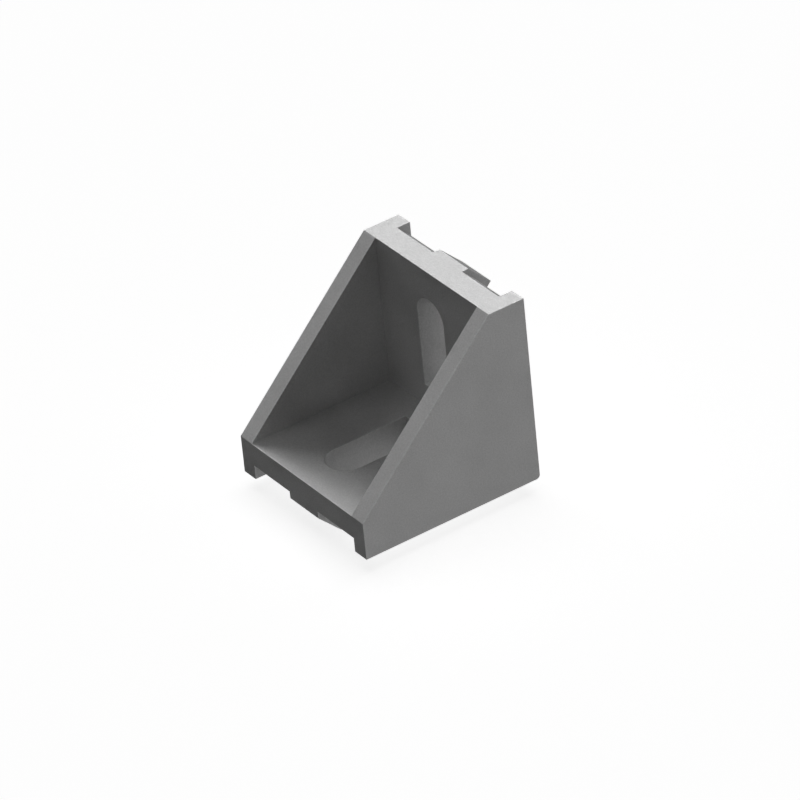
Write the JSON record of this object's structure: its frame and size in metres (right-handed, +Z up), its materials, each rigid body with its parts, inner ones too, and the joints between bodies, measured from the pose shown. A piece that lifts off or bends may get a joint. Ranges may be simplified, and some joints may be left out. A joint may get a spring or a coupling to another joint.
{
  "type": "t slot corner bracket",
  "caption": "Die-cast right-angle bracket with side gussets, a slot in each leg and locating keys, for joining slotted aluminium profiles.",
  "frame": {"origin": "centre of the base leg's contact face, on the bracket's middle plane", "axes": "+Z up away from the profile under the base leg, +Y out of the upright leg's contact face, -Y towards the base leg's tip, +X across the width"},
  "size_m": [0.043, 0.0464, 0.0464],
  "materials": {
    "cast_aluminium": "die-cast and blasted, matt light grey"
  },
  "bodies": {
    "root": {"bracket": "cast_aluminium"}
  },
  "joints": []
}
